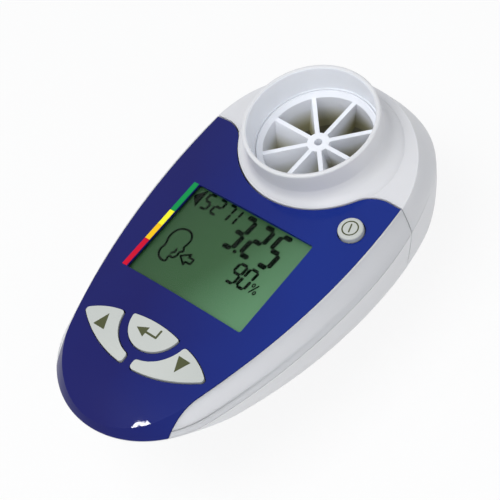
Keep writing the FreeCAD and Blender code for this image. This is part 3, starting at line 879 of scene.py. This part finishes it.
class Ends(Enum):
    """Shape of a bar's ends, as the number of corners of the two ends together."""

    ROUND = 16
    POINTED = 6

    @property
    def flat_share(self) -> float:
        """Half width of the bar for an end of radius one."""
        return math.cos(math.pi / self.value)

    @property
    def turn(self) -> float:
        """Turn that sets the end's corners evenly about the bar's line."""
        return math.pi / 2 if self is Ends.POINTED else math.pi / self.value


@dataclass(frozen=True)
class Modeller:
    """Short calls to Blender's operators for flat inlaid shapes.

    Attributes:
        thickness: Thickness of every shape.
        CORNER_STEPS: Edges of a rounded corner.
        CURVE_STEPS: Edges between two points of a curve.
        LINE_ROUNDING: Steps of rounding of a curve's line.
    """

    thickness: float

    CORNER_STEPS: ClassVar[int] = 4
    CURVE_STEPS: ClassVar[int] = 6
    LINE_ROUNDING: ClassVar[int] = 1

    @staticmethod
    def clear_selection() -> None:
        """Leaves object mode with nothing selected."""
        if bpy.context.object and bpy.context.object.mode != "OBJECT":
            bpy.ops.object.mode_set(mode="OBJECT")
        bpy.ops.object.select_all(action="DESELECT")

    @staticmethod
    def settle(name: str) -> bpy.types.Object:
        """Names the active object and moves its place into its mesh.

        Args:
            name: Name of the piece.

        Returns:
            The object.
        """
        obj = bpy.context.object
        obj.name = name
        obj.data.name = name
        bpy.ops.object.transform_apply(location=True, rotation=True, scale=True)
        return obj

    def thicken(self) -> None:
        """Extrudes the active flat face upwards and turns all faces outwards."""
        bpy.ops.mesh.select_all(action="SELECT")
        bpy.ops.mesh.extrude_region_move(TRANSFORM_OT_translate={"value": (0, 0, self.thickness * MM)})
        bpy.ops.mesh.select_all(action="SELECT")
        bpy.ops.mesh.normals_make_consistent(inside=False)

    def bar(
        self, name: str, start: Point, end: Point, width: float, z: float, ends: Ends = Ends.ROUND
    ) -> bpy.types.Object:
        """Flat bar.

        Args:
            name: Name of the piece.
            start: Centre of one end.
            end: Centre of the other end.
            width: Width of the bar.
            z: Height of its underside.
            ends: Shape of its ends.

        Returns:
            The object.
        """
        self.clear_selection()
        way = Vector((end[0] - start[0], end[1] - start[1], 0.0))
        place = Vector((*start, z)) * MM
        radius = width / 2 / ends.flat_share * MM
        bpy.ops.mesh.primitive_circle_add(
            vertices=ends.value, radius=radius, fill_type="NGON", location=place
        )
        obj = bpy.context.object
        turn = math.atan2(way.y, way.x) + ends.turn
        obj.data.transform(Matrix.Rotation(turn, 4, "Z"))
        bpy.ops.object.mode_set(mode="EDIT")
        bpy.ops.mesh.select_all(action="DESELECT")
        bpy.ops.object.mode_set(mode="OBJECT")
        for vertex in obj.data.vertices:
            vertex.select = vertex.co.dot(way) > 0
        bpy.ops.object.mode_set(mode="EDIT")
        bpy.ops.transform.translate(value=way * MM)
        self.thicken()
        bpy.ops.object.mode_set(mode="OBJECT")
        return self.settle(name)

    def tile(self, name: str, corners: Sequence[Point], z: float, rounding: float = 0.0) -> bpy.types.Object:
        """Flat polygon.

        Args:
            name: Name of the piece.
            corners: Its corners in order.
            z: Height of its underside.
            rounding: Radius of its corners, or 0 for sharp ones.

        Returns:
            The object.
        """
        self.clear_selection()
        bpy.ops.mesh.primitive_circle_add(vertices=len(corners), radius=MM, fill_type="NGON")
        obj = bpy.context.object
        for vertex, corner in zip(obj.data.vertices, corners):
            vertex.co = Vector((*corner, z)) * MM
        bpy.ops.object.mode_set(mode="EDIT")
        if rounding:
            bpy.ops.mesh.select_all(action="SELECT")
            bpy.ops.mesh.bevel(offset=rounding * MM, segments=self.CORNER_STEPS, affect="VERTICES")
        self.thicken()
        bpy.ops.object.mode_set(mode="OBJECT")
        return self.settle(name)

    def loop(self, name: str, points: Sequence[Point], width: float, z: float) -> bpy.types.Object:
        """Closed line of even width along a smooth curve through the points.

        Args:
            name: Name of the piece.
            points: Points of the curve in order.
            width: Width of the line.
            z: Height of its middle.

        Returns:
            The object.
        """
        self.clear_selection()
        bpy.ops.curve.primitive_bezier_circle_add(radius=MM)
        obj = bpy.context.object
        spline = obj.data.splines[0]
        spline.bezier_points.add(len(points) - len(spline.bezier_points))
        for knot, point in zip(spline.bezier_points, points):
            knot.co = Vector((*point, 0.0)) * MM
            knot.handle_left_type = "AUTO"
            knot.handle_right_type = "AUTO"
        obj.data.resolution_u = self.CURVE_STEPS
        obj.data.bevel_depth = width / 2 * MM
        obj.data.bevel_resolution = self.LINE_ROUNDING
        bpy.ops.object.convert(target="MESH")
        flatten = Matrix.Scale(self.thickness / width, 4, (0, 0, 1))
        bpy.context.object.data.transform(Matrix.Translation((0, 0, z * MM)) @ flatten)
        return self.settle(name)

    def join(self, name: str, parts: Sequence[bpy.types.Object]) -> bpy.types.Object:
        """Joins parts into one piece.

        Args:
            name: Name of the joined piece.
            parts: The parts.

        Returns:
            The joined object.
        """
        self.clear_selection()
        for part in parts:
            part.select_set(True)
        bpy.context.view_layer.objects.active = parts[0]
        bpy.ops.object.join()
        return self.settle(name)


def dress(obj: bpy.types.Object, material: bpy.types.Material, body: str) -> None:
    """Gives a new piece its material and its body.

    Args:
        obj: The piece.
        material: Its finish.
        body: The CAD body that it rides on.
    """
    obj.data.materials.clear()
    obj.data.materials.append(material)
    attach(obj, body)
    log.info("%s rides on %s in %s", obj.name, body, material.name)


class CadDresser:
    """Carries the finishes over to the CAD nodes."""

    def __init__(self, nodes: dict[str, bpy.types.Object]) -> None:
        """Keeps the frame's node objects."""
        self.nodes = nodes

    def paint(self, finish: Moulding | Metal | SolderMask | ClearPane | LiquidCrystal, *names: str) -> None:
        """Gives nodes one finish.

        Args:
            finish: The finish.
            *names: Names of the nodes.
        """
        material = finish.build()
        for name in names:
            self.give(name, material)

    def fit(self, finish: ZoneInks | CellJacket, name: str) -> None:
        """Gives one node a finish that is fitted to its box.

        Args:
            finish: The finish.
            name: Name of the node.
        """
        self.give(name, finish.build(*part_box(name)))

    def give(self, name: str, material: bpy.types.Material) -> None:
        """Puts a material on a node.

        Args:
            name: Name of the node.
            material: Its finish.
        """
        node = self.nodes[name]
        node.data.materials.clear()
        node.data.materials.append(material)
        log.info("%s is dressed in %s", name, material.name)

    def dress_all(self) -> None:
        """Gives every CAD node its finish."""
        self.paint(CASING, "front_shell", "back_shell", "battery_door", "head_back")
        self.paint(COLLAR, "head_front")
        self.paint(PANEL, "control_panel")
        self.paint(KEYCAP, "up_key", "enter_key", "down_key", "power_button")
        self.paint(FRONT_STATOR, "front_stator")
        self.paint(REAR_STATOR, "rear_stator")
        self.paint(FLOW_TUBE, "flow_tube")
        self.paint(BEARING, "front_bearing", "rear_bearing")
        self.paint(ROTOR, "rotor_vane")
        self.paint(STEEL, "rotor_spindle", "case_screws", "head_screws")
        self.paint(NICKEL, "battery_contacts", "battery_springs")
        plungers = ("up_plunger", "enter_plunger", "down_plunger", "power_plunger")
        self.paint(INNER, "lcd_frame", "switch_bodies", "board_chips", "buzzer", *plungers)
        self.paint(ELASTOMER, "lcd_connectors")
        self.paint(LENS, "ir_emitter", "ir_detector")
        self.paint(BOARD, "circuit_board")
        self.paint(PANE, "window_pane")
        self.paint(CRYSTAL, "lcd_cell")
        self.fit(ZONES, "zone_strip")
        self.fit(JACKET_LEFT, "battery_cell_left")
        self.fit(JACKET_RIGHT, "battery_cell_right")


@dataclass(frozen=True)
class DigitRow:
    """Row of seven-segment digits.

    Attributes:
        name: Name of the piece.
        digits: The digits that it shows.
        origins: Lower left corner of each digit.
        size: Width and half height of a digit between stroke centres.
        width: Stroke width.
        dot: Place of a decimal point, if the row has one.
    """

    name: str
    digits: str
    origins: Outline
    size: Point
    width: float
    dot: Point | None = None


BIG_ROW = DigitRow(
    "big_digits", "325", ((-3.3, -3.1), (2.25, -3.1), (7.75, -3.1)), (3.05, 4.55), 1.33, dot=(0.85, -3.3)
)
SMALL_ROW = DigitRow("small_digits", "90", ((4.05, -10.55), (7.3, -10.45)), (2.3, 2.75), 0.8)
UPPER_ROW = DigitRow(
    "upper_digits", "5271", ((-15.3, 2.3), (-12.0, 2.3), (-8.9, 2.3), (-6.7, 2.3)), (1.9, 2.2), 0.7
)


@dataclass
class Display:
    """Lit segments and symbols of the liquid crystal display.

    Attributes:
        gap: Distance from the crystal to the segments.
        thickness: Thickness of the segments.
        slant: Lean of the digits, as sideways shift over height.
        shift: Move of everything shown, across and along the display.
        stroke_inset: Free length at each end of a stroke, as a share of its width.
        dot_length: Length of the decimal point between its end centres.
        dot_width: Width of the decimal point.
        marker: Corners of the triangle that points at the zone strip.
        slash: Ends of the percent sign's slash.
        slash_width: Width of the slash.
        ring_centres: Middles of the percent sign's rings.
        ring_radii: Radii of the rings across and along.
        ring_points: Number of points round a ring.
        ring_width: Line width of the rings.
        head: Points round the blowing head.
        head_width: Line width of the head.
        lips: Corners of the lips' open line.
        arrow: Corners of the breath's arrow.
        sign_width: Line width of the lips and the arrow.
    """

    gap: float = 0.02
    thickness: float = 0.03
    slant: float = 0.06
    shift: Point = (0.33, -0.2)
    stroke_inset: float = 0.74
    dot_length: float = 0.08
    dot_width: float = 0.95
    marker: Outline = ((-18.7, 4.2), (-16.2, 7.2), (-16.2, 1.6))
    slash: Outline = ((11.15, -10.25), (12.25, -7.85))
    slash_width: float = 0.38
    ring_centres: Outline = ((11.05, -8.25), (12.4, -9.85))
    ring_radii: Point = (0.32, 0.42)
    ring_points: int = 8
    ring_width: float = 0.34
    head: Outline = (
        *((-15.4, -10.2), (-15.95, -8.6), (-16.0, -7.0), (-15.3, -5.4), (-13.9, -4.5), (-12.2, -4.5)),
        *((-10.9, -5.5), (-10.5, -7.2), (-10.75, -8.6), (-10.15, -9.7), (-10.75, -10.1), (-10.75, -11.4)),
        *((-11.4, -12.3), (-12.4, -12.3), (-12.3, -13.8), (-13.6, -14.0), (-15.0, -13.2), (-15.6, -11.8)),
    )
    head_width: float = 0.6
    lips: Outline = ((-12.1, -9.9), (-11.75, -10.7), (-12.5, -11.4))
    arrow: Outline = (
        *((-9.9, -10.9), (-7.7, -9.3), (-7.7, -10.2), (-6.2, -10.2)),
        *((-6.2, -11.6), (-7.7, -11.6), (-7.7, -12.5)),
    )
    sign_width: float = 0.54

    def __post_init__(self) -> None:
        """Finds the top of the crystal and gets the finish ready."""
        self.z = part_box("lcd_cell")[1].z / MM + self.gap
        self.maker = Modeller(self.thickness)
        self.ink = SEGMENT_INK.build()

    def build(self) -> None:
        """Makes every segment and symbol."""
        for row in (BIG_ROW, SMALL_ROW, UPPER_ROW):
            self.digits(row)
        self.percent()
        self.lay(self.maker.tile("zone_marker", self.marker, self.z))
        self.breath_symbol()

    def lay(self, obj: bpy.types.Object) -> None:
        """Moves a finished symbol into place and puts it on the body."""
        obj.data.transform(Matrix.Translation(Vector((*self.shift, 0.0)) * MM))
        dress(obj, self.ink, "body")

    def digits(self, row: DigitRow) -> None:
        """Makes a row of digits.

        Args:
            row: The row.
        """
        parts = []
        for digit, origin in zip(row.digits, row.origins):
            for stroke in LIT[digit]:
                start, end = [
                    Vector(self.lean(origin, (across * row.size[0], along * row.size[1])))
                    for across, along in stroke.value
                ]
                inset = (end - start).normalized() * self.stroke_inset * row.width
                start += inset
                end -= inset
                name = f"{row.name}_{len(parts)}"
                parts.append(self.maker.bar(name, start, end, row.width, self.z, Ends.POINTED))
        if row.dot:
            dot_end = (row.dot[0] + self.dot_length, row.dot[1])
            parts.append(self.maker.bar(f"{row.name}_dot", row.dot, dot_end, self.dot_width, self.z))
        self.lay(self.maker.join(row.name, parts))

    def lean(self, origin: Point, offset: Point) -> Point:
        """Point of a leaning digit.

        Args:
            origin: Lower left corner of the digit.
            offset: Place in the upright digit.

        Returns:
            The place on the display.
        """
        return origin[0] + offset[0] + self.slant * offset[1], origin[1] + offset[1]

    def percent(self) -> None:
        """Percent sign after the small digits: two rings and a slash."""
        parts = [self.maker.bar("percent_slash", *self.slash, self.slash_width, self.z)]
        for index, centre in enumerate(self.ring_centres):
            points = ellipse(centre, self.ring_radii, self.ring_points)
            parts.append(self.maker.loop(f"percent_ring_{index}", points, self.ring_width, self.z))
        self.lay(self.maker.join("percent_sign", parts))

    def breath_symbol(self) -> None:
        """Outline of a head that blows, and the arrow of its breath."""
        parts = [self.maker.loop("head_outline", self.head, self.head_width, self.z)]
        closed_arrow = self.arrow + self.arrow[:1]
        for name, corners in (("lips", self.lips), ("arrow", closed_arrow)):
            for index, (start, end) in enumerate(zip(corners, corners[1:])):
                parts.append(self.maker.bar(f"{name}_{index}", start, end, self.sign_width, self.z))
        self.lay(self.maker.join("breath_symbol", parts))


@dataclass
class KeySymbols:
    """Printed symbols on the keys and the power button.

    Attributes:
        print_height: How far the ink stands over the key.
        ink_depth: How far the ink's underside is sunk into the key.
        corner_r: Radius of the corners of the up and down signs.
        up: Corners of the up sign.
        down: Corners of the down sign.
        enter_head: Corners of the returning arrow's head.
        enter_line: Corners of its line.
        enter_width: Width of its line.
        ring_r: Radius of the power sign's ring.
        ring_points: Number of points round the ring.
        ring_width: Line width of the ring and the bar.
        bar_half: Half of the power sign's bar, across and along.
        bar_sink: How far the bar's underside lies below the middle of the ring's line.
        above: Height from which the keys' tops are looked for.
    """

    print_height: float = 0.02
    ink_depth: float = 0.08
    corner_r: float = 0.12
    up: Outline = ((-12.45, -32.75), (-14.2, -36.8), (-10.7, -36.8))
    down: Outline = ((9.75, -32.7), (13.3, -32.7), (11.5, -36.6))
    enter_head: Outline = ((-4.1, -32.1), (-1.15, -30.7), (-1.15, -33.5))
    enter_line: Outline = ((-1.3, -32.1), (1.95, -32.1), (1.95, -30.1))
    enter_width: float = 0.55
    ring_r: float = 1.9
    ring_points: int = 16
    ring_width: float = 0.34
    bar_half: Point = (-0.32, 1.0)
    bar_sink: float = 0.05
    above: float = 100.0

    def __post_init__(self) -> None:
        """Gets the operators and the finish ready."""
        self.maker = Modeller(self.print_height + self.ink_depth)
        self.ink = OLIVE_INK.build()

    def build(self) -> None:
        """Makes every printed symbol."""
        self.print_on("up_key", "up_symbol", self.up, "up")
        self.print_on("down_key", "down_symbol", self.down, "down")
        self.enter_symbol()
        self.power_symbol()

    def under(self, node: str) -> float:
        """Height of the print's underside on a node's top."""
        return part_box(node)[1].z / MM - self.ink_depth

    def print_on(self, node: str, name: str, corners: Outline, body: str) -> None:
        """Solid polygon on a key, following the key's crown.

        Args:
            node: The key's node.
            name: Name of the piece.
            corners: Corners of the polygon.
            body: The key's body.
        """
        obj = self.maker.tile(name, corners, self.under(node), self.corner_r)
        self.settle_on(obj, node)
        dress(obj, self.ink, body)

    def settle_on(self, obj: bpy.types.Object, node: str) -> None:
        """Lowers each corner of a print onto the key under it.

        Args:
            obj: The print.
            node: The key's node.
        """
        key = bpy.data.objects[node]
        base = self.under(node) * MM
        for vertex in obj.data.vertices:
            start = Vector((vertex.co.x, vertex.co.y, self.above * MM))
            hit, place, _, _ = key.ray_cast(start, DOWN)
            if hit:
                vertex.co.z = place.z - self.ink_depth * MM + (vertex.co.z - base)

    def enter_symbol(self) -> None:
        """Arrow that turns back, on the middle key."""
        z = self.under("enter_key")
        parts = [self.maker.tile("enter_head", self.enter_head, z)]
        for index, (start, end) in enumerate(zip(self.enter_line, self.enter_line[1:])):
            parts.append(self.maker.bar(f"enter_line_{index}", start, end, self.enter_width, z))
        obj = self.maker.join("enter_symbol", parts)
        self.settle_on(obj, "enter_key")
        dress(obj, self.ink, "enter")

    def power_symbol(self) -> None:
        """Ring with a short bar, on the power button."""
        low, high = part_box("power_button")
        x = (low.x + high.x) / 2 / MM
        y = (low.y + high.y) / 2 / MM
        z = self.under("power_button") + self.ink_depth
        ring = ellipse((x, y), (self.ring_r, self.ring_r), self.ring_points)
        parts = [self.maker.loop("power_ring", ring, self.ring_width, z)]
        right, up = self.bar_half
        start = (x - right, y - up)
        end = (x + right, y + up)
        parts.append(self.maker.bar("power_bar", start, end, self.ring_width, z - self.bar_sink))
        dress(self.maker.join("power_symbol", parts), self.ink, "power")


@dataclass(frozen=True)
class SoftBox:
    """Rectangular lamp that looks at the object.

    Attributes:
        name: Name of the lamp.
        place: Where it hangs.
        size: Its width and height.
        power: Its power in watts.
        roll: Its turn about its own middle line, in degrees.
        AIM: The point that it looks at.
    """

    name: str
    place: Triple
    size: Point
    power: float
    roll: float = 0.0

    AIM: ClassVar[Triple] = (0.0, 0.0, 25.0)

    def build(self) -> None:
        """Hangs the lamp."""
        data = bpy.data.lights.new(self.name, "AREA")
        data.shape = "RECTANGLE"
        data.size = self.size[0] * MM
        data.size_y = self.size[1] * MM
        data.energy = self.power
        lamp = bpy.data.objects.new(self.name, data)
        lamp.location = Vector(self.place) * MM
        way = Vector(self.AIM) * MM - lamp.location
        turn = way.to_track_quat("-Z", "Y") @ Quaternion((0, 0, 1), math.radians(self.roll))
        lamp.rotation_euler = turn.to_euler()
        bpy.context.scene.collection.objects.link(lamp)


@dataclass
class Studio:
    """Camera, lamps, world and floor of the picture.

    Attributes:
        camera_place: Where the camera stands.
        camera_turn: Its turn about X, Y and Z, in degrees.
        lens: Its focal length.
        sensor: Width of its sensor.
        view_start: Nearest distance that it sees.
        view_end: Farthest distance that it sees.
        lamps: The lamps.
        air: Colour of the light from all around.
        air_strength: Strength of that light.
        floor_half: Half the floor's width.
        floor_drop: How far the floor lies under the object.
        floor_paint: Grey of the floor.
        floor_glow: Share of white that is shown over the floor's own grey.
        near_floor: Length under which light passes the floor.
        white: Strength at which the backdrop shows white.
    """

    camera_place: Triple = (214.7, -126.7, 355.5)
    camera_turn: Triple = (35.16, 14.261, 39.935)
    lens: float = 124.3
    sensor: float = 36.0
    view_start: float = 10.0
    view_end: float = 10000.0
    lamps: tuple[SoftBox, ...] = (
        SoftBox("key_lamp", (-20.0, -190.0, 640.0), (380.0, 380.0), 2.2),
        SoftBox("side_lamp", (420.0, -120.0, 260.0), (300.0, 300.0), 0.3),
        SoftBox("spark_lamp", (-307.0, -201.0, 618.0), (7.0, 72.0), 0.16, roll=33.0),
    )
    air: Colour = (0.92, 0.95, 1.0)
    air_strength: float = 0.5
    floor_half: float = 1500.0
    floor_drop: float = 0.1
    floor_paint: float = 0.86
    floor_glow: float = 0.88
    near_floor: float = 12.0
    white: float = 1.0

    def build(self) -> None:
        """Sets up the whole studio."""
        self.camera()
        for lamp in self.lamps:
            lamp.build()
        self.world()
        self.floor()
        bpy.context.scene.view_settings.view_transform = "Standard"

    def camera(self) -> None:
        """Camera at the photograph's viewing angle."""
        data = bpy.data.cameras.new("camera")
        data.lens = self.lens
        data.sensor_width = self.sensor
        data.clip_start = self.view_start * MM
        data.clip_end = self.view_end * MM
        camera = bpy.data.objects.new("camera", data)
        camera.location = Vector(self.camera_place) * MM
        camera.rotation_euler = [math.radians(turn) for turn in self.camera_turn]
        bpy.context.scene.collection.objects.link(camera)
        bpy.context.scene.camera = camera

    def world(self) -> None:
        """Even pale surroundings, plain white where they are seen."""
        bench = NodeBench(bpy.data.worlds.new("studio"), "OutputWorld")
        lit = bench.node("Background", Color=(*self.air, 1.0), Strength=self.air_strength)
        seen = bench.node("Background", Color=(*WHITE, 1.0), Strength=self.white)
        bpy.context.scene.world = bench.finish(bench.mix(bench.backdrop_rays(), lit, seen))

    def floor(self) -> None:
        """Pale floor that shows nearly white and keeps a soft shadow.

        It is clear from below and to light that leaves a surface close over it, so the underside can be seen.
        """
        Modeller.clear_selection()
        place = Vector((0.0, 0.0, -self.floor_drop)) * MM
        bpy.ops.mesh.primitive_plane_add(size=2 * self.floor_half * MM, location=place)
        bpy.ops.object.transform_apply()
        floor = bpy.context.object
        floor.name = "floor"
        bench = NodeBench.of_material("pale_floor")
        grey = self.floor_paint
        paint = bench.node("BsdfDiffuse", Color=(grey, grey, grey, 1.0))
        glow = bench.node("Emission", Strength=self.white)
        shown = bench.mix(bench.number(bench.backdrop_rays(), 0.0, self.floor_glow), paint, glow)
        length = bench.node("LightPath").outputs["Ray Length"]
        near = bench.combine("LESS_THAN", length, self.near_floor * MM)
        below = bench.node("NewGeometry").outputs["Backfacing"]
        open_share = bench.combine("MAXIMUM", near, below)
        floor.data.materials.append(bench.finish(bench.mix(open_share, shown, bench.node("BsdfTransparent"))))


def main() -> None:
    """Builds the scene in order."""
    logging.basicConfig(level=logging.INFO, format="%(message)s")
    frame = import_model()
    Studio().build()
    CadDresser(frame["nodes"]).dress_all()
    Display().build()
    KeySymbols().build()


if __name__ == "__main__":
    main()
